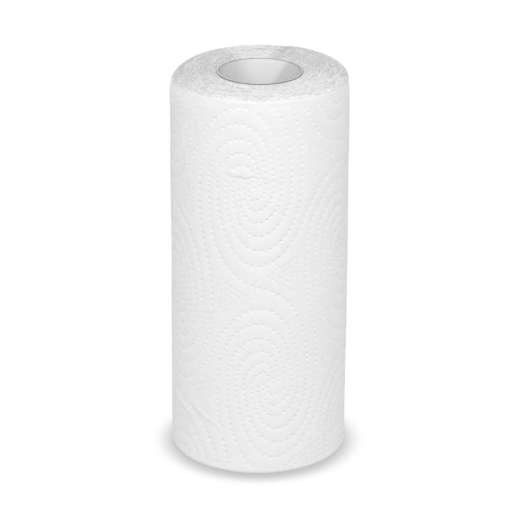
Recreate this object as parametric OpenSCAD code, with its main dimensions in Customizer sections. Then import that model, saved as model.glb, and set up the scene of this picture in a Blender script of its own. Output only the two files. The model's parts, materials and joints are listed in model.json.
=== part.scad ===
// Paper towel roll: a strip of embossed paper wound on a board tube, standing on its end.
// Millimetres. The origin is the middle of the bottom end, on the axis of the roll, with +Z up.
// The front of the roll faces -Y. The free end of the paper, the tail, lies at the back.

/* [Roll] */
// Height of the roll, which is the width of the paper
roll_h = 228; // [200:1:260]
// Outside diameter of the wound paper at the tail
roll_d = 102; // [96:1:120]

/* [Core tube] */
// Outside diameter of the board tube
core_d = 48; // [40:0.5:50]
// Thickness of the board
core_wall = 0.8; // [0.6:0.1:2]
// How far each end of the tube lies inside the end of the paper
core_recess = 0.5; // [0.2:0.1:2]
// Clearance all round between the tube and the first turn of paper
core_gap = 0.1; // [0.05:0.05:0.3]

/* [Turns] */
// Thickness that one turn of paper takes up in the roll, also the step at the tail
turn_pitch = 0.75; // [0.6:0.05:1]
// Width of the groove between two turns, at the ends of the roll
groove_w = 0.2; // [0.1:0.05:0.3]
// Depth of the groove between two turns, at the ends of the roll
groove_depth = 0.5; // [0.2:0.1:1]
// How far the outermost turn has sunk at the top
top_rim_drop = 2.4; // [1:0.2:4]
// How far in from the outside the turns have sunk at the top
top_rim_w = 3; // [1.5:0.5:6]
// How far the outermost turn has risen at the bottom
base_rim_drop = 1.4; // [0.6:0.2:3]
// How far in from the outside the turns have risen at the bottom
base_rim_w = 2; // [1:0.5:4]
// Direction of the tail round the roll, counted from +X towards +Y
tail_dir = 70; // [40:5:140]

/* [Embossing] */
// Diameter of one embossed dot
dot_d = 2; // [1.4:0.1:2.4]
// Depth of one embossed dot
dot_depth = 0.5; // [0.3:0.1:0.8]
// Distance between dots along a row
dot_pitch = 5.5; // [5:0.5:10]
// Plain border at the two ends of the roll and at the tail
dot_border = 5; // [4:0.5:12]
// Where the first oval lies, sideways from the front along the surface
eye_side = -5.6; // [-30:0.2:30]
// Height of the middle of the first oval
eye_height = 175.8; // [150:0.2:200]
// Distance down from one oval to the next in a column
eye_drop = 118.8; // [112:0.1:130]
// Sideways lean of a column over that distance
eye_lean = 11.4; // [5:0.1:15]
// Distance from one column to the next
column_gap = 64.2; // [62:0.1:72]
// How much lower the next column starts
column_drop = 39.9; // [36:0.1:44]
// Half width of the innermost row of an oval, at the height of its middle
flank_first = 5.9; // [5.4:0.1:6.6]
// Distance between rows there
flank_step = 3.4; // [3.2:0.1:3.6]
// How much that distance grows from row to row
flank_grow = 0.28; // [0.2:0.02:0.3]
// Height of the first arc over the middle of an oval
arc_first = 7; // [6:0.2:8]
// Distance between the arcs
arc_step = 6; // [5.6:0.1:6.2]
// How much that distance grows from arc to arc
arc_grow = 0.38; // [0.3:0.02:0.46]
// How far the top of each arc leans sideways
arc_lean = 2.2; // [0:0.1:3]

/* [Hidden] */
// Turns next to the core that are left plain
plain_turns = 1.2;
// How far a cutting shape runs past the face it cuts
over = 1;
// Bend of the row that links an oval to the one below: share of the way down, and pull at its middle
link_share = 0.6;
link_pull = [-19.7, 4];
// How many ovals are tried each way, and how far above or below the roll the middle of one may lie
ovals_down = 4;
ovals_across = 6;
eye_beyond = 96;
// Fineness of the rows, the dots and the round faces
row_steps = 16;
arc_turn = 7.5;
dot_fn = 24;
round_fn = 96;
roll_r = roll_d / 2;
bore_r = core_d / 2 - core_wall;
paper_in_r = core_d / 2 + core_gap;
turns = floor((roll_r - paper_in_r) / turn_pitch - plain_turns);
round_way = 2 * PI * roll_r;
tail_side = (tail_dir + 90) * PI * roll_r / 180;
down = [eye_lean, -eye_drop];
across = [column_gap, -column_drop];
first_eye = [eye_side, eye_height];

// Rows of dots, drawn on the flat sheet as [sideways, up] about the middle of an oval
function flank(j) = flank_first + flank_step * j + flank_grow * j * j;
function arc_h(k) = arc_first + arc_step * (k - 1) + arc_grow * (k - 1) * (k - 1);
function cubic(a, b, c, d, t) =
    pow(1 - t, 3) * a + 3 * t * pow(1 - t, 2) * b + 3 * t * t * (1 - t) * c + t * t * t * d;
function curve(a, b, c, d) = [for (i = [0:row_steps]) cubic(a, b, c, d, i / row_steps)];
function turned(row, mid) = [for (i = [len(row) - 1:-1:0]) mid - row[i]];
function joined(half, mid) = concat(half, [for (i = [1:len(half) - 1]) turned(half, mid)[i]]);

// An arc over the middle, from the left flank of its own number to the right flank three further in
function upper(k) =
    let (mid = (flank(k - 3) - flank(k)) / 2, half = (flank(k - 3) + flank(k)) / 2)
    [for (a = [180:-arc_turn:0]) [mid + half * cos(a) + arc_lean * pow(sin(a), 2), arc_h(k) * sin(a)]];

// A row that leaves the left flank and runs on to the right flank of the oval below
function to_below() =
    let (mid = down / 2)
    joined(curve([-flank(4), 0], [-flank(4), link_share * mid[1]], mid + link_pull, mid), down);

// Points at an even distance along a row
function run_of(row) =
    [for (i = 0, run = 0; i < len(row);
        run = run + (i < len(row) - 1 ? norm(row[i + 1] - row[i]) : 0), i = i + 1) run];
function dots_on(row) =
    let (run = run_of(row), last = len(row) - 1, count = round(run[last] / dot_pitch))
    let (side = [for (i = [0:last]) [run[i], row[i][0]]], up = [for (i = [0:last]) [run[i], row[i][1]]])
    [for (n = [0:count - 1]) let (at = (n + 0.5) * run[last] / count) [lookup(at, side), lookup(at, up)]];

function oval_dots() =
    let (over = concat(dots_on(upper(1)), dots_on(upper(4))))
    concat(over, -1 * over, dots_on(to_below()));

// The whole sheet: every oval that reaches the outer turn, kept clear of the ends and the tail
function on_sheet(p) =
    p[1] > dot_border && p[1] < roll_h - dot_border &&
    p[0] < tail_side - dot_border && p[0] > tail_side - round_way + dot_border;
function reaches_sheet(eye) = abs(eye[1] - roll_h / 2) < roll_h / 2 + eye_beyond;
function sheet_dots() =
    let (oval = oval_dots())
    [for (i = [-ovals_down:ovals_down]) for (j = [-ovals_across:ovals_across])
        let (eye = first_eye + i * down + j * across)
        if (reaches_sheet(eye))
            for (p = oval) if (on_sheet(eye + p)) eye + p];

// Outside of the paper at a direction counted from the tail, on the two half turns
function outside(way) = way < 180 ? roll_r - turn_pitch / 2 * (1 + cos(way)) : roll_r;

// Half the section of the wound paper, with a groove between each two turns
function sunk(t, drop, w) = t >= w ? 0 : drop * (1 - sqrt(1 - pow(1 - t / w, 2)));
function end_line(r, count, drop, w) = concat(
    [for (k = [0:count - 1])
        let (s = sunk((k + 0.5) * turn_pitch, drop, w), far = r - k * turn_pitch, near = far - turn_pitch)
        each [[far - (k == 0 ? 0 : groove_w / 2), s], [near + groove_w / 2, s], [near, s + groove_depth]]],
    [[r - count * turn_pitch - groove_w / 2, 0], [paper_in_r - over, 0]]);
function section(r, count) =
    let (top = end_line(r, count, top_rim_drop, top_rim_w))
    let (base = end_line(r, count, base_rim_drop, base_rim_w))
    concat([for (p = top) [p[0], roll_h - p[1]]], [for (i = [len(base) - 1:-1:0]) base[i]]);

// The wound paper: two half turns on axes half a turn's thickness apart, which leaves the step of the tail
module wound_paper() {
    rotate_extrude(angle = 180, $fn = round_fn)
        polygon(section(roll_r, turns));
    translate([turn_pitch / 2, 0, 0])
        rotate([0, 0, 180])
            rotate_extrude(angle = 180, $fn = round_fn)
                polygon(section(roll_r - turn_pitch / 2, turns - 1));
}

module dot_at(p) {
    way = p[0] * 180 / PI / roll_r;
    from_tail = way - (tail_side - round_way) * 180 / PI / roll_r;
    rotate([0, 0, way - 90])
        translate([outside(from_tail) - dot_depth, 0, p[1]])
            rotate([0, 90, 0])
                cylinder(h = dot_depth + 2 * over, d = dot_d, $fn = dot_fn);
}

module towel_roll() {
    color("white")
    difference() {
        rotate([0, 0, tail_dir - 180])
            wound_paper();
        translate([0, 0, -over])
            cylinder(h = roll_h + 2 * over, r = paper_in_r, $fn = round_fn);
        for (p = sheet_dots())
            dot_at(p);
    }
}

module core_tube() {
    color("silver")
    translate([0, 0, core_recess])
        difference() {
            cylinder(h = roll_h - 2 * core_recess, d = core_d, $fn = round_fn);
            translate([0, 0, -over])
                cylinder(h = roll_h + 2 * over, r = bore_r, $fn = round_fn);
        }
}

core_tube();
towel_roll();
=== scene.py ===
import json
import math

import bpy
import numpy as np
from mathutils import Matrix, Vector, geometry, kdtree


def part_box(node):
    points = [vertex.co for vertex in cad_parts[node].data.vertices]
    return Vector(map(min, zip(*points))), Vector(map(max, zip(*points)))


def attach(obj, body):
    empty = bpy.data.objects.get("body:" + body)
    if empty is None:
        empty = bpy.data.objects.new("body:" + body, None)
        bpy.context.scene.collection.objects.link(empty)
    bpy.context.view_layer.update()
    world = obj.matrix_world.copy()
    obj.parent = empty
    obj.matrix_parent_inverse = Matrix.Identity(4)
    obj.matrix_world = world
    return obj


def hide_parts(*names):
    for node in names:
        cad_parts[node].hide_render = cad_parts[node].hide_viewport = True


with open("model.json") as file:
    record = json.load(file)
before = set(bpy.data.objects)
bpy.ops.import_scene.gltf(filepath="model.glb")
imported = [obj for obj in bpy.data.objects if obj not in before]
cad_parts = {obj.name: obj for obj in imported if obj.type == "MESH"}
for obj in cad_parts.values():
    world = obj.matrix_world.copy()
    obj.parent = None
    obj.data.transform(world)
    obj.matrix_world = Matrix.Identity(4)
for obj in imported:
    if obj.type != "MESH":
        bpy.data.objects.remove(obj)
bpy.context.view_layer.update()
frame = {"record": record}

bl_info = {
    "name": "Paper towel roll",
    "version": (1, 0, 0),
    "blender": (4, 5, 0),
    "location": "View3D > Sidebar > Towel roll",
    "description": "Embossed kitchen paper wound on a board tube, with a plain studio stage",
    "category": "Add Mesh",
}

MM = 0.001

# Sizes that the frame gives, in millimetres
ROLL_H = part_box("towel_roll")[1].z / MM
ROLL_R = round(max(abs(c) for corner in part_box("towel_roll") for c in corner[:2]) / MM)
CORE_LOW, CORE_HIGH = (corner.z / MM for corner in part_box("core_tube"))
CORE_OUT_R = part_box("core_tube")[1].x / MM
BORE_R = next(m["dims"]["r_mm"] for m in frame["record"]["mounts"] if m["name"] == "core_bore")
PAPER_IN_R = CORE_OUT_R + 0.1
ROUND_WAY = 2 * math.pi * ROLL_R

# The photo's frame and the lens and distance that match it
PHOTO_PX = 520
FOCAL_PX = 2472
CAMERA_AWAY = 28.0 * ROLL_R * MM
CAMERA_ELEVATION = 22.3
CAMERA_ROLL = 0.3
AIM_OFFSET_PX = (1.2, 1.9)
SENSOR_MM = 36.0

# The wound seam inside the tube: its direction at the top and its turn for each millimetre down
SEAM_TOP = math.radians(41)
SEAM_PER_MM = math.radians(1.7)

# The shaded side of the tube: its direction at the top and its turn for each millimetre down
SHADE_TOP = math.radians(117)
SHADE_PER_MM = math.radians(0.6)

# How far the shadow reaches where the roll meets the floor
CONTACT_REACH = 16.5

# Marks on the paper: the faces on which it is cut, and the points pressed in by the embossing, which carry
# painted light in the pits
CUT_MARK = "cut"
PIT_LIGHT_MARK = "pressed"

# Where the free end of the paper lies, in degrees from +X towards +Y
TAIL_DIRECTION = 70.0
TAIL_SIDE = math.radians(TAIL_DIRECTION + 90) * ROLL_R
SHEET_START = TAIL_SIDE - ROUND_WAY


class TowelRollSizes(bpy.types.PropertyGroup):
    """Sizes of the paper and its embossing, in millimetres"""

    turn_pitch: bpy.props.FloatProperty(
        name="Turn", description="Thickness that one turn takes up in the roll", default=0.75, min=0.3)
    dot_pitch: bpy.props.FloatProperty(
        name="Dot pitch", description="Distance between dots along outer rows", default=4.2, min=2.0)
    dot_radius: bpy.props.FloatProperty(
        name="Dot radius", description="Radius of one embossed dot", default=0.92, min=0.3)
    dot_depth: bpy.props.FloatProperty(
        name="Dot depth", description="Depth of one embossed dot", default=0.55, min=0.05)
    quilt_rise: bpy.props.FloatProperty(
        name="Quilting", description="How far the paper swells between rows", default=0.13, min=0.0)
    groove_depth: bpy.props.FloatProperty(
        name="End grooves", description="Depth between two turns at the ends", default=0.16, min=0.0)
    tail_lift: bpy.props.FloatProperty(
        name="Tail lift", description="How far the free end stands off the roll", default=0.7, min=0.0)
    seam_step: bpy.props.FloatProperty(
        name="Core seam", description="Step at the wound seam inside the tube", default=0.12, min=0.0)


class TowelRollColours(bpy.types.PropertyGroup):
    """Colours of the paper, the board and the stage"""

    paper: bpy.props.FloatVectorProperty(
        name="Paper", description="Colour of the tissue", subtype="COLOR", size=3, min=0, max=1,
        default=(0.86, 0.86, 0.86))
    # Painted light: the colour that lightens the embossed pits, brightest on the left and right of the
    # roll
    pressed: bpy.props.FloatVectorProperty(
        name="Pressed dots", description="Colour of pressed tissue", subtype="COLOR", size=3, min=0, max=1,
        default=(0.98, 0.98, 0.98))
    paper_edge: bpy.props.FloatVectorProperty(
        name="Paper edges", description="Colour of cut edges", subtype="COLOR", size=3, min=0, max=1,
        default=(0.68, 0.68, 0.68))
    board: bpy.props.FloatVectorProperty(
        name="Board", description="Colour of the tube's inside", subtype="COLOR", size=3, min=0, max=1,
        default=(0.93, 0.93, 0.93))
    board_edge: bpy.props.FloatVectorProperty(
        name="Board edge", description="Colour of the cut board", subtype="COLOR", size=3, min=0, max=1,
        default=(0.1, 0.1, 0.1))
    floor: bpy.props.FloatVectorProperty(
        name="Floor", description="Colour of the floor", subtype="COLOR", size=3, min=0, max=1,
        default=(0.67, 0.67, 0.67))


# Shader nodes

class Wire:
    """A value in a shader tree that takes part in sums"""

    def __init__(self, maker, socket):
        self.maker = maker
        self.socket = socket

    def math(self, operation, a, b=0.0):
        node = self.maker.add("ShaderNodeMath", {"operation": operation}, {0: a, 1: b})
        return self.maker.wire(node)

    def __add__(self, other):
        return self.math("ADD", self, other)

    def __radd__(self, other):
        return self.math("ADD", other, self)

    def __sub__(self, other):
        return self.math("SUBTRACT", self, other)

    def __rsub__(self, other):
        return self.math("SUBTRACT", other, self)

    def __mul__(self, other):
        return self.math("MULTIPLY", self, other)

    def __rmul__(self, other):
        return self.math("MULTIPLY", other, self)

    def __pow__(self, other):
        return self.math("POWER", self, other)

    def __abs__(self):
        return self.math("ABSOLUTE", self)

    def cosine(self):
        return self.math("COSINE", self)

    def over(self, low, high):
        """0 under low, 1 over high and smooth between"""
        node = self.maker.add("ShaderNodeMapRange", {"interpolation_type": "SMOOTHSTEP"},
                              {"Value": self, "From Min": low, "From Max": high})
        return self.maker.wire(node)


class NodeMaker:
    """Adds nodes to one empty shader tree"""

    def __init__(self, owner):
        owner.use_nodes = True
        self.tree = owner.node_tree
        self.tree.nodes.clear()

    def add(self, kind, settings=None, sockets=None):
        node = self.tree.nodes.new(kind)
        for name, value in (settings or {}).items():
            setattr(node, name, value)
        for key, value in (sockets or {}).items():
            if isinstance(value, Wire):
                self.tree.links.new(value.socket, node.inputs[key])
            else:
                node.inputs[key].default_value = value
        return node

    def wire(self, node, output=0):
        return Wire(self, node.outputs[output])

    def value(self, kind, settings=None, sockets=None, output=0):
        return self.wire(self.add(kind, settings, sockets), output)

    def split(self, vector):
        node = self.add("ShaderNodeSeparateXYZ", None, {0: vector})
        return [self.wire(node, i) for i in range(3)]

    def joined(self, x, y, z):
        return self.value("ShaderNodeCombineXYZ", None, {0: x, 1: y, 2: z})

    def noise(self, vector, scale, detail=3.0, roughness=0.5):
        return self.value("ShaderNodeTexNoise", {"noise_dimensions": "3D"},
                          {"Vector": vector, "Scale": scale, "Detail": detail, "Roughness": roughness})

    def mix(self, factor, a, b):
        return self.value("ShaderNodeMix", {"data_type": "RGBA"}, {0: factor, 6: a, 7: b}, 2)

    def surface(self, shader):
        self.add("ShaderNodeOutputMaterial", None, {"Surface": shader})


def rgba(colour, level=1.0):
    """A colour at a share of its brightness, as a shader socket takes it"""
    return (*(level * c for c in colour), 1.0)


def round_roll(make):
    """A point, with its distance from the axis, its direction and its height"""
    point = make.value("ShaderNodeTexCoord", None, None, 3)
    x, y, z = make.split(point)
    away = (x * x + y * y) ** 0.5
    way = x.math("ARCTAN2", y, x)
    return point, away, way, z


def tissue_material(colours):
    """Soft white paper with painted light in its pits, brightest on the left and right, streaked where it
    is cut, and with painted light on the front of the cut ends
    """
    material = bpy.data.materials.new("white_tissue")
    make = NodeMaker(material)
    point, away, way, z = round_roll(make)
    on_end = make.value("ShaderNodeAttribute", {"attribute_name": CUT_MARK}, None, 2)
    unrolled = make.joined(way * (ROLL_R * MM), away, z)
    crepe = make.noise(make.joined(way * (ROLL_R * MM * 2.2), away, z), 900.0, 3.0, 0.6)
    clumps = make.noise(unrolled, 260.0, 3.0, 0.55)
    tone = clumps.over(0.3, 0.7) * 0.5 + crepe * 0.5
    side = make.mix(tone, rgba(colours.paper, 0.97), rgba(colours.paper, 1.02))
    # Painted light in the pits: lightened by the pit mark, much more on the left and right of the roll
    # than at the front
    pressed = make.value("ShaderNodeAttribute", {"attribute_name": PIT_LIGHT_MARK}, None, 2)
    aside = abs(way.cosine())
    side = make.mix(pressed * (0.18 + 0.82 * aside ** 2.5), side, rgba(colours.pressed))
    turns = make.noise(make.joined(away * 9.0, way * 0.012, z), 420.0, 4.0, 0.6)
    streaks = make.noise(make.joined(away * 2.2, way * 0.03, z), 640.0, 4.0, 0.65)
    lint = make.noise(point, 1500.0, 2.0, 0.6)
    edge_tone = turns.over(0.36, 0.64) * 0.35 + streaks.over(0.38, 0.62) * 0.45 + lint * 0.2
    # Painted light: the cut ends are lighter towards the front, where the light falls
    front = (way + math.radians(82)).cosine().over(-0.25, 1.05)
    # A lighter patch towards the back of the cut ends
    lighter_back_patch = (way - math.radians(97)).cosine().over(0.89, 0.98)
    edge_tone = edge_tone + 0.32 * front + 0.28 * lighter_back_patch - 0.21
    edges = make.mix(edge_tone, rgba(colours.paper_edge, 0.64), rgba(colours.paper_edge, 1.22))
    height = (crepe * 0.6 + clumps * 0.4) * (1.0 - on_end) + (turns * 0.8 + lint * 0.4) * on_end
    bump = make.value("ShaderNodeBump", None, {"Strength": 0.35, "Distance": 0.0004, "Height": height})
    make.surface(make.value("ShaderNodeBsdfPrincipled", None, {
        "Base Color": make.mix(on_end, side, edges), "Roughness": 0.95, "Normal": bump,
        "Specular IOR Level": 0.1, "Sheen Weight": 0.15}))
    return material


def board_material(colours):
    """Grey board with a dark cut edge and painted light on its inside: a lit patch from the wound seam to
    a painted shade line
    """
    material = bpy.data.materials.new("grey_board")
    make = NodeMaker(material)
    point, away, way, z = round_roll(make)
    look = abs(make.split(make.value("ShaderNodeNewGeometry", None, None, 3))[2])
    fibres = make.noise(make.joined(way * (CORE_OUT_R * MM), away, z * 0.4), 700.0, 4.0, 0.6)
    specks = make.noise(point, 2200.0, 2.0, 0.5).over(0.66, 0.74)
    # Painted light inside the tube: a lit patch from the wound seam to the painted shade line, darker
    # round the rest of the turn
    turned = (way - SEAM_TOP + (z - CORE_HIGH * MM) * (SEAM_PER_MM / MM)) * (0.5 / math.pi)
    past = turned.math("FRACT", turned)
    shade = (way - (z - CORE_HIGH * MM) * (SHADE_PER_MM / MM)).over(SHADE_TOP - 0.3, SHADE_TOP + 0.3)
    painted_lit_patch = (past.over(0.0, 0.035) - past.over(0.3, 0.5) - shade) * 0.2 + 0.8
    wall = make.mix(painted_lit_patch, rgba((0, 0, 0)), rgba(colours.board))
    wall = make.mix(fibres.over(0.3, 0.7) * 0.03, wall, rgba((1, 1, 1)))
    wall = make.mix(specks * 0.2, wall, rgba(colours.board_edge, 4.0))
    outer = away.over((CORE_OUT_R - 0.15) * MM, (CORE_OUT_R - 0.1) * MM)
    bevel = look.over(0.4, 0.6) - look.over(0.8, 0.9)
    cut = make.mix(fibres.over(0.3, 0.7), rgba(colours.board_edge, 0.85), rgba(colours.board_edge, 1.2))
    bump = make.value("ShaderNodeBump", None, {"Strength": 0.1, "Distance": 0.0002, "Height": fibres})
    make.surface(make.value("ShaderNodeBsdfPrincipled", None, {
        "Base Color": make.mix(bevel.math("MAXIMUM", bevel, outer), wall, cut), "Roughness": 0.85,
        "Normal": bump, "Specular IOR Level": 0.2}))
    return material


# The embossing, in millimetres on the flat sheet: sideways from the front, and up

EYE = np.array([-5.6, 175.8])
DOWN = np.array([11.4, -118.8])
ACROSS = np.array([64.2, -39.9])
FLANK = (5.9, 3.4, 0.28)
ARC = (7.0, 6.0, 0.38)
ARC_LEAN = 2.2
WEDGE = np.array([(-22.3, 3.75), (-3.9, -7.55), (-22.4, -17.55)])
WEDGE_PITCH = 2.7
WEDGE_CLEAR = 1.9
ARC_PITCH = (0.7, 0.76, 0.85, 0.95, 1.0)
UPRIGHT_PITCH = (1.0, 1.0, 0.92, 0.84, 0.8)
LINK_UPRIGHT_PITCH = 0.86
ARC_PHASE = (0.17, 0.83, 0.5, 0.17, 0.83)
DOT_DRAWN_OUT = 1.1

# Slack folds of the outer turn: the rise to the right of a line, on it and to its left, and the line
FOLDS = (
    ((0.1, -0.46, 0.22), ((-23, 183.3), (-19.4, 182.6), (-15.8, 182.5), (-13.3, 181.5), (-10.3, 182.2),
                          (-7.4, 180.9), (-3.9, 182.8), (-2, 182.1), (0.9, 181.5), (5.7, 182.2))),
    ((0.0, 0.36, 0.0), ((-49.5, 194), (-48.5, 187), (-47, 181.5), (-44.6, 179.8))),
    ((0.0, 0.3, 0.0), ((-46.4, 179), (-46, 171.5))),
    ((0.0, 0.36, 0.0), ((-44, 178.6), (-43.6, 167.5))),
    ((0.0, 0.26, 0.0), ((-53, 207), (-52, 198), (-50.6, 190))),
    ((0.0, 0.26, 0.0), ((-38, 214), (-36.5, 205), (-37.5, 198))),
    ((0.1, -0.3, 0.16), ((-37.4, 98.2), (-34, 96.8), (-30, 97.3), (-26, 98.4), (-22.7, 99.8))),
    ((-0.1, 0.34, 0.0), ((-59.4, 34.5), (-53, 32.6), (-46.6, 30.2), (-41, 28.3))),
    ((-0.14, 0.38, 0.0), ((-44.8, 38), (-37.9, 33.9), (-31, 30.7), (-25.5, 28.9), (-20.6, 22.9))),
    ((0.0, 0.28, -0.08), ((-29.3, 44), (-29, 39), (-28.7, 35))),
    ((0.1, -0.26, 0.14), ((-29.3, 55.4), (-26, 56), (-23, 55.1))),
)
FOLD_HALF_WIDTH = 0.8


def flank(j):
    """Half width of row j at the middle of an oval"""
    return FLANK[0] + FLANK[1] * j + FLANK[2] * j * j


def arc_height(k):
    """Height of arc k over the middle of an oval"""
    return ARC[0] + ARC[1] * (k - 1) + ARC[2] * (k - 1) ** 2


def bent(a, b, c, d, count=24):
    """Points on a cubic curve"""
    t = np.linspace(0, 1, count)[:, None]
    a, b, c, d = (np.array(p, float) for p in (a, b, c, d))
    return (1 - t) ** 3 * a + 3 * t * (1 - t) ** 2 * b + 3 * t * t * (1 - t) * c + t ** 3 * d


def joined_row(half, far_eye):
    """A row from one oval to the next, whose second half is its first one turned about"""
    return np.vstack([half, (far_eye - half[::-1])[1:]])


def upper_arc(k):
    """Arc k, from the left flank of its number to the right flank three further in"""
    mid = (flank(k - 3) - flank(k)) / 2
    half = (flank(k - 3) + flank(k)) / 2
    a = np.linspace(math.pi, 0, 60)
    side = mid + half * np.cos(a) + ARC_LEAN * np.sin(a) ** 2
    return np.column_stack([side, arc_height(k) * np.sin(a)])


def linking_rows():
    """The rows that run on from an oval to its neighbours on the right, below and on the left"""
    low = np.array([(flank(5) - flank(2)) / 4, -arc_height(6)])
    a = np.radians(np.linspace(180, 268, 30))
    start = np.column_stack([low[0] + (low[0] + flank(3)) * np.cos(a), arc_height(6) * np.sin(a)])
    mid = ACROSS / 2
    right = np.vstack([start, bent(low, low + (13, 0), mid - (5, 11), mid)])
    mid = DOWN / 2
    below = bent((-flank(4), 0), (-flank(4) - 1, 0.6 * mid[1]), mid + (-19.7, 4), mid)
    mid = (DOWN - ACROSS) / 2
    left = bent((-flank(5), 0), (-flank(5) - 1.6, -15), mid + (-3, 11), mid)
    return [joined_row(right, ACROSS), joined_row(below, DOWN), joined_row(left, DOWN - ACROSS)]


def spaced(row, pitch, phase=0.5, upright=1.0):
    """Points along a row, closer where it runs upright, each with the direction of the row"""
    steps = np.diff(row, axis=0) / (1, upright)
    run = np.concatenate([[0], np.cumsum(np.linalg.norm(steps, axis=1))])
    count = max(1, round(run[-1] / pitch))
    at = (np.arange(count) + phase) * run[-1] / count
    ahead = np.gradient(row, axis=0)
    ahead /= np.linalg.norm(ahead, axis=1)[:, None]
    return np.column_stack([np.interp(at, run, values) for values in (*row.T, *ahead.T)])


def near_tree(points):
    """Points on the flat sheet, to be asked which of them is near"""
    tree = kdtree.KDTree(len(points))
    for i, p in enumerate(points):
        tree.insert((p[0], p[1], 0), i)
    tree.balance()
    return tree


def kept_apart(dots, clear):
    """The dots that do not lie too near one kept before them"""
    tree = near_tree(dots)
    kept = np.zeros(len(dots), bool)
    for i, p in enumerate(dots):
        kept[i] = not any(kept[n] for _, n, _ in tree.find_range((p[0], p[1], 0), clear))
    return dots[kept]


def wedge_dots():
    """The small dots that fill the gap between ovals: an outline, a smaller one and its middle"""
    heart = WEDGE.mean(axis=0)
    dots = [np.array([[*heart, 1, 0]])]
    for size in (1.0, 0.48):
        corners = heart + size * (WEDGE - heart)
        for i in range(3):
            dots.append(spaced(np.array([corners[i], corners[(i + 1) % 3]]), WEDGE_PITCH))
    dots = kept_apart(np.vstack(dots), WEDGE_CLEAR)
    middle = np.array([*(DOWN / 2), 0, 0])
    return np.vstack([middle + dots, middle - dots])


def over_the_sheet(points, low, high):
    """A pattern about one oval, repeated over the outer turn of paper"""
    found = []
    for i in range(-4, 5):
        for j in range(-7, 8):
            found.append(points + np.array([*(EYE + i * DOWN + j * ACROSS), 0, 0]))
    every = np.vstack(found)
    side, up = every[:, 0], every[:, 1]
    return every[(side > low[0]) & (side < high[0]) & (up > low[1]) & (up < high[1])]


# Shape of the roll

def waves(x, y, seed, scale, count=7):
    """Smooth seeded unevenness between about -1 and 1"""
    draw = np.random.default_rng(seed)
    total = np.zeros(np.broadcast(x, y).shape)
    for _ in range(count):
        turn = draw.uniform(0, 2 * math.pi)
        rate = draw.uniform(0.5, 1.6) / scale
        total += np.sin(rate * (x * math.cos(turn) + y * math.sin(turn)) + draw.uniform(0, 2 * math.pi))
    return total / math.sqrt(count)


def bump_at(angle, middle, width):
    """A smooth rise round one direction, in degrees"""
    apart = (angle - middle + 180) % 360 - 180
    return np.exp(-(apart / width) ** 2)


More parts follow.
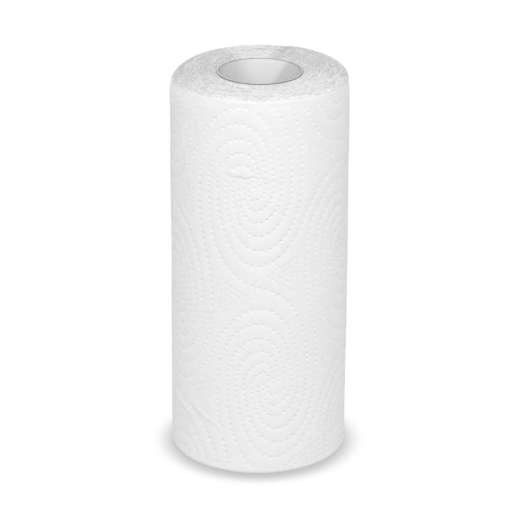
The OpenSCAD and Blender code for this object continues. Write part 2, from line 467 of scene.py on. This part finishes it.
class WoundPaper:
    """The mesh of the wound paper: its outer turn with the embossing, the tail and the two ends"""

    TOP_AROUND = 360
    BASE_AROUND = 90
    TAIL_STEPS = 130
    TOP_LIP = 3.4
    BASE_LIP = 2.2
    FILL_PITCH = 2.4

    def __init__(self, sizes):
        self.sizes = sizes
        self.pitch = sizes.turn_pitch
        self.points = []
        self.faces = []
        self.smooth = []
        self.cut = []

    def outside(self, side):
        """Radius of the outer turn, which grows by one thickness from the hidden start to the tail"""
        return ROLL_R - self.pitch * (1 - (side - SHEET_START) / ROUND_WAY)

    def tail(self, side, up):
        """How far the free end stands off the roll"""
        near = np.clip((side - (TAIL_SIDE - 16)) / 16, 0, 1)
        return self.sizes.tail_lift * near ** 2 * (0.65 + 0.35 * np.sin(up / 19 + 0.8))

    def soft(self, side, up):
        """Slow unevenness of the outer turn"""
        loose = 0.22 * waves(side, up * 0.8, 3, 22) + 0.1 * waves(side, up, 5, 8)
        return loose - self.shoulder(side, 0) * np.clip((up - ROLL_H + 12) / 12, 0, 1) ** 2

    def pressed_in(self, side, up):
        """How much of the embossing is left, which winding flattens unevenly and most near the top"""
        even = 1.0 - 0.3 * np.clip((up - ROLL_H + 70) / 50, 0, 1)
        return np.clip(even + 0.22 * waves(side, up * 0.6, 17, 9), 0.45, 1.25)

    def shoulder(self, side, inward):
        """How far the top of the outer turns is pushed in, fading towards the core"""
        angle = np.degrees(side / ROLL_R)
        left, front = 1.9 * bump_at(angle, -92, 38), 0.4 * bump_at(angle, -14, 44)
        push = 0.3 + left + 0.6 * bump_at(angle, 88, 30) + front
        return push * max(0.0, 1 - inward / 7)

    def place(self, side, up, relief):
        """Points in space of points on the flat sheet"""
        r = self.outside(side) + relief + self.tail(side, up) + self.soft(side, up)
        a = side / ROLL_R
        low = self.sag(side, 0) * np.clip((up - ROLL_H + 45) / 45, 0, 1) ** 2
        return np.column_stack([r * np.sin(a), -r * np.cos(a), up - low]) * MM

    def sag(self, side, inward):
        """How far the top has sunk on the left and on the right, fading towards the core"""
        angle = np.degrees(side / ROLL_R)
        left = 2.3 * bump_at(angle, -92, 45) * max(0.0, 1 - inward / 15) ** 2
        right = 1.6 * bump_at(angle, 90, 40) * max(0.0, 1 - inward / 12) ** 2
        return left + right

    def outer_turn(self):
        """The embossed side, with the rows of dots as real pits"""
        sizes = self.sizes
        base, top = self.BASE_LIP, ROLL_H - self.TOP_LIP
        edge = 0.9
        low, high = (SHEET_START + edge, base + edge), (TAIL_SIDE - edge, top - edge)
        links = linking_rows()
        rows, groups = list(links), [(1.0, 0.5, LINK_UPRIGHT_PITCH, links)]
        for k, (share, phase, upright) in enumerate(zip(ARC_PITCH, ARC_PHASE, UPRIGHT_PITCH), 1):
            pair = [upper_arc(k), -upper_arc(k)]
            rows += pair
            groups.append((share, phase, upright, pair))
        folded = near_tree(np.vstack([spaced(np.array(way, float), 0.7) for _, way in FOLDS]))
        taken = near_tree(np.zeros((0, 2)))
        sets, kept = [], []
        for share, phase, upright, group in groups:
            run = [spaced(row, share * sizes.dot_pitch, phase, upright) for row in group]
            found = over_the_sheet(np.vstack(run), low, high)
            clear = [p for p in found if not taken.find_range((p[0], p[1], 0), 2.2 * sizes.dot_radius)
                     and not folded.find_range((p[0], p[1], 0), 2 * sizes.dot_radius)]
            sets.append((math.sqrt(share) * sizes.dot_radius, np.array(clear)))
            kept.extend(clear)
            taken = near_tree(kept)
        dots = np.array(kept)
        small = over_the_sheet(wedge_dots(), low, high)
        reach = 1.8 * sizes.dot_radius
        small = np.array([p for p in small if not taken.find_range((p[0], p[1], 0), reach)
                          and not folded.find_range((p[0], p[1], 0), reach)])
        ways = np.vstack([spaced(row, 1.2) for row in rows])
        rows_tree = near_tree(over_the_sheet(ways, (SHEET_START, base), (TAIL_SIDE, top)))

        flat, relief = [], []

        def pits(dots, rings, size, drawn_out):
            centres, along = dots[:, :2], dots[:, 2:]
            aside = np.column_stack([-along[:, 1], along[:, 0]])
            for share, count, depth in rings:
                for n in range(count):
                    a = 2 * math.pi * (n + 0.5 * (share > 0.8)) / count
                    reach = drawn_out * math.cos(a) * along + math.sin(a) / drawn_out * aside
                    flat.append(centres + share * size * reach)
                    relief.append(depth * self.pressed_in(*centres.T))

        d = -sizes.dot_depth
        for size, found in sets:
            pits(found, ((0.0, 1, d), (0.5, 6, 0.85 * d), (1.0, 9, 0.06 * d)), size, DOT_DRAWN_OUT)
        size = 0.72 * sizes.dot_radius
        pits(small, ((0.0, 1, 0.85 * d), (0.5, 5, 0.7 * d), (1.0, 6, 0.06 * d)), size, 1.0)

        for rises, way in FOLDS:
            line = spaced(np.array(way, float), 1.1)
            ends = np.sin(np.linspace(0, math.pi, len(line))) ** 0.5
            aside = np.column_stack([-line[:, 3], line[:, 2]])
            for share, rise in zip((-1, 0, 1), rises):
                flat.append(line[:, :2] + share * FOLD_HALF_WIDTH * aside)
                relief.append(rise * ends)
        tree = near_tree(np.vstack([dots[:, :2], small[:, :2]] + flat[-3 * len(FOLDS):]))
        fill = []
        step = self.FILL_PITCH
        for row, up in enumerate(np.arange(low[1], high[1], step * 0.87)):
            for side in np.arange(low[0] + 0.5 * step * (row % 2), high[0], step):
                if tree.find((side, up, 0))[2] > 1.5 * sizes.dot_radius:
                    fill.append((side, up))
        flat.append(np.array(fill))
        relief.append(np.zeros(len(fill)))

        tops = np.linspace(SHEET_START, TAIL_SIDE, self.TOP_AROUND + 1)
        bases = np.linspace(SHEET_START, TAIL_SIDE, self.BASE_AROUND + 1)
        ups = np.linspace(base, top, self.TAIL_STEPS + 1)[1:-1]
        border = [np.column_stack([tops, np.full(len(tops), top)]),
                  np.column_stack([bases, np.full(len(bases), base)]),
                  np.column_stack([np.full(len(ups), SHEET_START), ups]),
                  np.column_stack([np.full(len(ups), TAIL_SIDE), ups])]
        flat = np.vstack(border + flat)
        relief = np.concatenate([np.zeros(sum(len(b) for b in border))] + relief)

        away = np.array([rows_tree.find((p[0], p[1], 0))[2] for p in flat])
        quilt = sizes.quilt_rise * (1 - np.exp(-(away / 2.6) ** 2))
        quilt *= np.clip((flat[:, 1] - base) / 4, 0, 1) * np.clip((top - flat[:, 1]) / 4, 0, 1)

        made = geometry.delaunay_2d_cdt([Vector(p) for p in flat], [], [], 0, 1e-7)
        if len(made[0]) != len(flat):
            raise RuntimeError("two points of the embossing fall together")
        self.points.append(self.place(flat[:, 0], flat[:, 1], relief + quilt))
        # Painted light: how strongly each point is lightened, most deep in the pits
        self.pressed = np.interp(relief, (0.7 * d, 0.08 * d), (1, 0)).astype(np.float32)
        self.add_faces(np.array(made[2]), True)
        self.side_faces = len(made[2])
        self.border = sum(len(b) for b in border)

        n_top, n_base, n_tail = len(tops), len(bases), len(ups)
        self.top_edge = np.arange(n_top)
        self.base_edge = n_top + np.arange(n_base)
        first = n_top + n_base
        start = np.concatenate([[self.base_edge[0]], first + np.arange(n_tail), [0]])
        end = np.concatenate([[self.base_edge[-1]], first + n_tail + np.arange(n_tail), [n_top - 1]])
        self.add_faces(np.column_stack([end[:-1], start[:-1], start[1:], end[1:]]), False)

    def add_faces(self, faces, smooth, cut=False):
        self.faces.extend(faces.tolist())
        self.smooth.extend([smooth] * len(faces))
        self.cut.extend(np.broadcast_to(cut, len(faces)).tolist())

    def add_points(self, points):
        first = sum(len(p) for p in self.points)
        self.points.append(points)
        return first + np.arange(len(points))

    def end(self, edge, top):
        """One end of the roll: the sunk rim, the turns as a wound ridge and the wall round the core"""
        around = len(edge) - 1
        u = np.linspace(0, 1, around + 1)
        side = SHEET_START + u * ROUND_WAY
        angle = np.degrees(side / ROLL_R)
        seed = 11 if top else 29
        if top:
            crushed = bump_at(angle, -92, 38)
            drop = 1.5 + 0.9 * crushed + 0.4 * bump_at(angle, 88, 30) + 0.15 * waves(angle, 0, seed, 25)
            width = 3.0 + 3.6 * crushed + 1.2 * bump_at(angle, 88, 30)
        else:
            drop = 0.6 + 0.1 * waves(angle, 0, seed, 25)
            width = np.full(around + 1, 1.3)
        rings = 2 * int((ROLL_R - PAPER_IN_R - 1.6 * self.pitch) / self.pitch)
        lip = ROLL_H - self.TOP_LIP if top else self.BASE_LIP
        rows = [edge]
        draw = np.random.default_rng(seed)
        for i in range(rings + 1):
            t = i * self.pitch / 2
            fade = min(1.0, t / 4)
            r = self.outside(side) - t + fade * 0.13 * waves(angle, 40 * (i // 2), seed + 1, 14)
            r = r + (1 - fade) * (self.soft(side, lip) + self.tail(side, lip))
            if top:
                r = r - fade * self.shoulder(side, t)
            sunk = drop * (1 - np.sqrt(1 - np.clip(1 - t / width, 0, 1) ** 2))
            level = draw.uniform(-0.12, 0.12) * fade
            dip = self.sizes.groove_depth * (i % 2)
            fine = 0.09 * waves(angle, 5 * i, seed + 2, 0.9) + 0.07 * waves(angle, 9 * i, seed + 4, 4)
            uneven = fade * fine + 0.25 * waves(angle, i, seed + 3, 60)
            inner = 0.5 * max(0.0, 1 - (rings - i) / 5) ** 2
            fall = sunk + dip + np.maximum(0, 0.35 + level + uneven)
            if top:
                fall = fall + inner + self.sag(side, t)
            up = ROLL_H - fall if top else np.maximum(0, fall - 0.35)
            turn = side / ROLL_R
            rows.append(self.add_points(np.column_stack([r * np.sin(turn), -r * np.cos(turn), up]) * MM))
        for i, (a, b) in enumerate(zip(rows[:-1], rows[1:])):
            quads = np.column_stack([a[:-1], a[1:], b[1:], b[:-1]])
            t = (i - 0.5) * self.pitch / 2
            bared = np.clip((t / width[:-1] + 0.12) / 0.28, 0, 1) if i else 0
            self.add_faces(quads if top else quads[:, ::-1], t < 0.4, bared)
        turn = side[:-1] / ROLL_R
        brim = ROLL_H - 0.85 if top else 0.0
        loops = []
        for up in (brim, ROLL_H / 2):
            ring = PAPER_IN_R * np.column_stack([np.sin(turn), -np.cos(turn)])
            loop = self.add_points(np.column_stack([ring, np.full(around, up)]) * MM)
            loops.append(np.append(loop, loop[0]))
        for a, b in ((rows[-1], loops[0]), (loops[0], loops[1])):
            quads = np.column_stack([a[:-1], a[1:], b[1:], b[:-1]])
            self.add_faces(quads if top else quads[:, ::-1], a is loops[0], True)
        self.close_end(rows, loops[0][0], top)

    def close_end(self, rows, inmost, top):
        """Closes an end where the winding meets itself, one turn further in, and at the tail"""
        near, far = ([row[at] for row in rows] for at in (0, -1))
        last = len(rows) - 1
        tail = [(far[0], near[0], near[1], far[1]), (far[1], near[1], far[3], far[2])]
        seam = [(far[k + 2], near[k], near[k + 1], far[k + 3]) for k in range(1, last - 2)]
        seam.append((far[last], near[last - 2], near[last - 1], near[last]))
        for faces, cut in ((tail, False), (seam, True), ([(far[last], near[last], inmost)], True)):
            faces = np.array(faces)
            self.add_faces(faces if top else faces[:, ::-1], False, cut)

    def even_normals(self, points, count):
        """Normals of the outer turn in which large faces count for more, so that the pits stay crisp"""
        turn = np.array(self.faces[:self.side_faces])
        corners = points[turn]
        across = np.cross(corners[:, 1] - corners[:, 0], corners[:, 2] - corners[:, 0])
        normals = np.zeros((count, 3))
        for i in range(3):
            np.add.at(normals, turn[:, i], across)
        normals[:self.border] = 0
        size = np.linalg.norm(normals, axis=1, keepdims=True)
        return np.divide(normals, size, out=np.zeros_like(normals), where=size > 0)

    def build(self):
        self.outer_turn()
        self.end(self.top_edge, True)
        self.end(self.base_edge, False)
        points = np.vstack(self.points)
        mesh = bpy.data.meshes.new("towel_paper")
        mesh.from_pydata(points.tolist(), [], self.faces)
        mesh.polygons.foreach_set("use_smooth", np.array(self.smooth, bool))
        mark = mesh.attributes.new(CUT_MARK, "FLOAT", "FACE")
        mark.data.foreach_set("value", np.array(self.cut, np.float32))
        # The mark of painted light in the pits, zero on the ends and the tail
        pressed = np.concatenate([self.pressed, np.zeros(len(points) - len(self.pressed), np.float32)])
        mark = mesh.attributes.new(PIT_LIGHT_MARK, "FLOAT", "POINT")
        mark.data.foreach_set("value", pressed)
        mesh.update()
        mesh.normals_split_custom_set_from_vertices(self.even_normals(points, len(points)).tolist())
        return mesh


def core_mesh(sizes):
    """The board tube, its grid wound so that the seam is one column of it"""
    around, levels = 150, 90
    ways = np.linspace(0, 2 * math.pi, around, endpoint=False)
    ups = np.linspace(CORE_LOW, CORE_HIGH, levels)
    points, faces = [], []

    def wall(radius_of):
        first = len(points)
        for up in ups:
            shift = SEAM_TOP - SEAM_PER_MM * (up - CORE_HIGH)
            for w in ways:
                r = radius_of(w)
                points.append((r * math.cos(w + shift), r * math.sin(w + shift), up))
        return first

    def inner(w):
        groove = 0.2 * math.exp(-(min(w, 2 * math.pi - w) / 0.03) ** 2)
        return BORE_R + groove - sizes.seam_step * max(0.0, 1 - w / 1.2)

    inside, outside = wall(inner), wall(lambda w: CORE_OUT_R)
    bevel = 0.25
    for row, up in ((0, CORE_LOW + bevel), (levels - 1, CORE_HIGH - bevel)):
        for i in range(inside + row * around, inside + (row + 1) * around):
            points[i] = (points[i][0], points[i][1], up)
    for row in range(levels - 1):
        for n in range(around):
            m = (n + 1) % around
            a, b = row * around, (row + 1) * around
            faces.append((inside + a + n, inside + b + n, inside + b + m, inside + a + m))
            faces.append((outside + a + n, outside + a + m, outside + b + m, outside + b + n))
    for level in (0, (levels - 1) * around):
        first = len(points)
        rim = points[inside + level:inside + level + around]
        flat = CORE_HIGH if level else CORE_LOW
        points.extend(rim)
        points.extend((x * (1 + bevel / BORE_R), y * (1 + bevel / BORE_R), flat) for x, y, _ in rim)
        points.extend(points[outside + level:outside + level + around])
        for n in range(around):
            m = (n + 1) % around
            for a in (first, first + around):
                cut = (a + n, a + m, a + around + m, a + around + n)
                faces.append(cut[::-1] if level else cut)
    mesh = bpy.data.meshes.new("core_board")
    mesh.from_pydata((np.array(points) * MM).tolist(), [], faces)
    smooth = [True] * (2 * (levels - 1) * around) + [False] * (4 * around)
    mesh.polygons.foreach_set("use_smooth", smooth)
    mesh.update()
    return mesh


def shown(name, mesh, material):
    """A new piece of the roll"""
    piece = bpy.data.objects.new(name, mesh)
    mesh.materials.append(material)
    bpy.context.scene.collection.objects.link(piece)
    return piece


class TOWELROLL_OT_paper(bpy.types.Operator):
    """Winds the embossed paper round the core"""

    bl_idname = "towelroll.paper"
    bl_label = "Wound paper"

    def execute(self, context):
        mesh = WoundPaper(context.scene.towel_sizes).build()
        piece = shown("towel_paper", mesh, tissue_material(context.scene.towel_colours))
        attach(piece, "root")
        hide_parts("towel_roll")
        return {"FINISHED"}


class TOWELROLL_OT_core(bpy.types.Operator):
    """Makes the board tube with its wound seam"""

    bl_idname = "towelroll.core"
    bl_label = "Core tube"

    def execute(self, context):
        mesh = core_mesh(context.scene.towel_sizes)
        piece = shown("core_board", mesh, board_material(context.scene.towel_colours))
        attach(piece, "root")
        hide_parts("core_tube")
        return {"FINISHED"}


def seen_ray(make):
    """1 on rays that show the background: from the camera, mirrored or through glass"""
    path = make.add("ShaderNodeLightPath")
    return make.wire(path, 0) + make.wire(path, 3) + make.wire(path, 6)


def studio_floor(colours):
    """A white floor with a painted contact shadow where the roll stands on it"""
    mesh = bpy.data.meshes.new("floor")
    half, level = 6.0, -0.05 * MM
    corners = [(x, y, level) for x, y in ((-half, -half), (half, -half), (half, half), (-half, half))]
    mesh.from_pydata(corners, [], [(0, 1, 2, 3)])
    floor = bpy.data.objects.new("floor", mesh)
    material = bpy.data.materials.new("studio_floor")
    make = NodeMaker(material)
    matt = make.value("ShaderNodeBsdfDiffuse", None, {"Color": rgba(colours.floor)})
    # Painted shadow: seen from the camera the floor glows white, darkened by ambient occlusion near the
    # roll
    leaning = make.joined(0.0, 0.3, 0.954)
    near = make.value("ShaderNodeAmbientOcclusion", {"samples": 16},
                      {"Distance": CONTACT_REACH * MM, "Normal": leaning}, 1)
    tone = make.mix(near.over(0.38, 0.97), rgba((0.56, 0.56, 0.56)), rgba((1, 1, 1)))
    white = make.value("ShaderNodeBsdfPrincipled", None, {
        "Base Color": rgba((0, 0, 0)), "Specular IOR Level": 0.0,
        "Emission Color": tone, "Emission Strength": 1.0})
    make.surface(make.value("ShaderNodeMixShader", None, {0: seen_ray(make), 1: matt, 2: white}))
    mesh.materials.append(material)
    bpy.context.scene.collection.objects.link(floor)


def studio_world():
    """Even light in front of a white backdrop"""
    world = bpy.data.worlds.new("studio")
    bpy.context.scene.world = world
    make = NodeMaker(world)
    light = make.value("ShaderNodeBackground", None, {"Color": (1, 1, 1, 1), "Strength": 0.765})
    white = make.value("ShaderNodeBackground", None, {"Color": (1, 1, 1, 1), "Strength": 1.0})
    both = make.value("ShaderNodeMixShader", None, {0: seen_ray(make), 1: light, 2: white})
    make.add("ShaderNodeOutputWorld", None, {"Surface": both})


def soft_sun(name, way, height, spread, power):
    """A wide soft light from far off, at degrees from the front towards +X and above the horizon"""
    data = bpy.data.lights.new(name, "SUN")
    data.angle = math.radians(spread)
    data.energy = power
    lamp = bpy.data.objects.new(name, data)
    a, e = math.radians(way), math.radians(height)
    back = Vector((math.sin(a) * math.cos(e), -math.cos(a) * math.cos(e), math.sin(e)))
    lamp.location = 2.0 * back
    lamp.rotation_euler = (-back).to_track_quat("-Z", "Y").to_euler()
    bpy.context.scene.collection.objects.link(lamp)


def soft_lamp(name, place, aim, size, power):
    """A square softbox at a place in metres, turned to face a point"""
    data = bpy.data.lights.new(name, "AREA")
    data.shape = "SQUARE"
    data.size = size
    data.energy = power
    lamp = bpy.data.objects.new(name, data)
    lamp.location = place
    lamp.rotation_euler = (Vector(aim) - Vector(place)).to_track_quat("-Z", "Y").to_euler()
    bpy.context.scene.collection.objects.link(lamp)


def photo_camera():
    """The camera at the photo's angle: in front of the roll and above it, with a slight lean"""
    data = bpy.data.cameras.new("camera")
    data.sensor_width = SENSOR_MM
    data.lens = FOCAL_PX / PHOTO_PX * SENSOR_MM
    data.clip_start, data.clip_end = 0.05, 50
    camera = bpy.data.objects.new("camera", data)
    e = math.radians(CAMERA_ELEVATION)
    middle = Vector((0, 0, ROLL_H * MM / 2))
    back = Vector((0, -math.cos(e), math.sin(e)))
    above = Vector((0, math.sin(e), math.cos(e)))
    across = Vector((1, 0, 0))
    metre_per_px = CAMERA_AWAY / FOCAL_PX
    aim = middle + AIM_OFFSET_PX[0] * metre_per_px * across - AIM_OFFSET_PX[1] * metre_per_px * above
    turn = Matrix((across, above, back)).transposed().to_4x4()
    lean = Matrix.Rotation(math.radians(CAMERA_ROLL), 4, "Z")
    camera.matrix_world = Matrix.Translation(aim + back * CAMERA_AWAY) @ turn @ lean
    bpy.context.scene.collection.objects.link(camera)
    bpy.context.scene.camera = camera


class TOWELROLL_OT_stage(bpy.types.Operator):
    """Sets up the floor, the light and the camera"""

    bl_idname = "towelroll.stage"
    bl_label = "Stage"

    def execute(self, context):
        context.scene.view_settings.view_transform = "Standard"
        studio_floor(context.scene.towel_colours)
        studio_world()
        soft_sun("front_sun", 0, 56, 16, 0.48)
        soft_sun("low_sun", 0, 16, 16, 0.05)
        soft_lamp("softbox", (0, -0.5, 0.92), (0, 0, 0.15), 0.35, 2.75)
        photo_camera()
        return {"FINISHED"}


class TOWELROLL_PT_panel(bpy.types.Panel):
    """Lists the steps and the settings of the roll"""

    bl_idname = "TOWELROLL_PT_panel"
    bl_label = "Towel roll"
    bl_space_type = "VIEW_3D"
    bl_region_type = "UI"
    bl_category = "Towel roll"

    def draw(self, context):
        for step in STEPS:
            self.layout.operator(step.bl_idname)
        for group in (context.scene.towel_sizes, context.scene.towel_colours):
            for name in group.__annotations__:
                self.layout.prop(group, name)


STEPS = (TOWELROLL_OT_core, TOWELROLL_OT_paper, TOWELROLL_OT_stage)
CLASSES = (TowelRollSizes, TowelRollColours, *STEPS, TOWELROLL_PT_panel)


def register():
    for item in CLASSES:
        bpy.utils.register_class(item)
    bpy.types.Scene.towel_sizes = bpy.props.PointerProperty(type=TowelRollSizes)
    bpy.types.Scene.towel_colours = bpy.props.PointerProperty(type=TowelRollColours)


def unregister():
    del bpy.types.Scene.towel_colours
    del bpy.types.Scene.towel_sizes
    for item in reversed(CLASSES):
        bpy.utils.unregister_class(item)


def main():
    register()
    bpy.ops.towelroll.core()
    bpy.ops.towelroll.paper()
    bpy.ops.towelroll.stage()


if __name__ == "__main__":
    main()
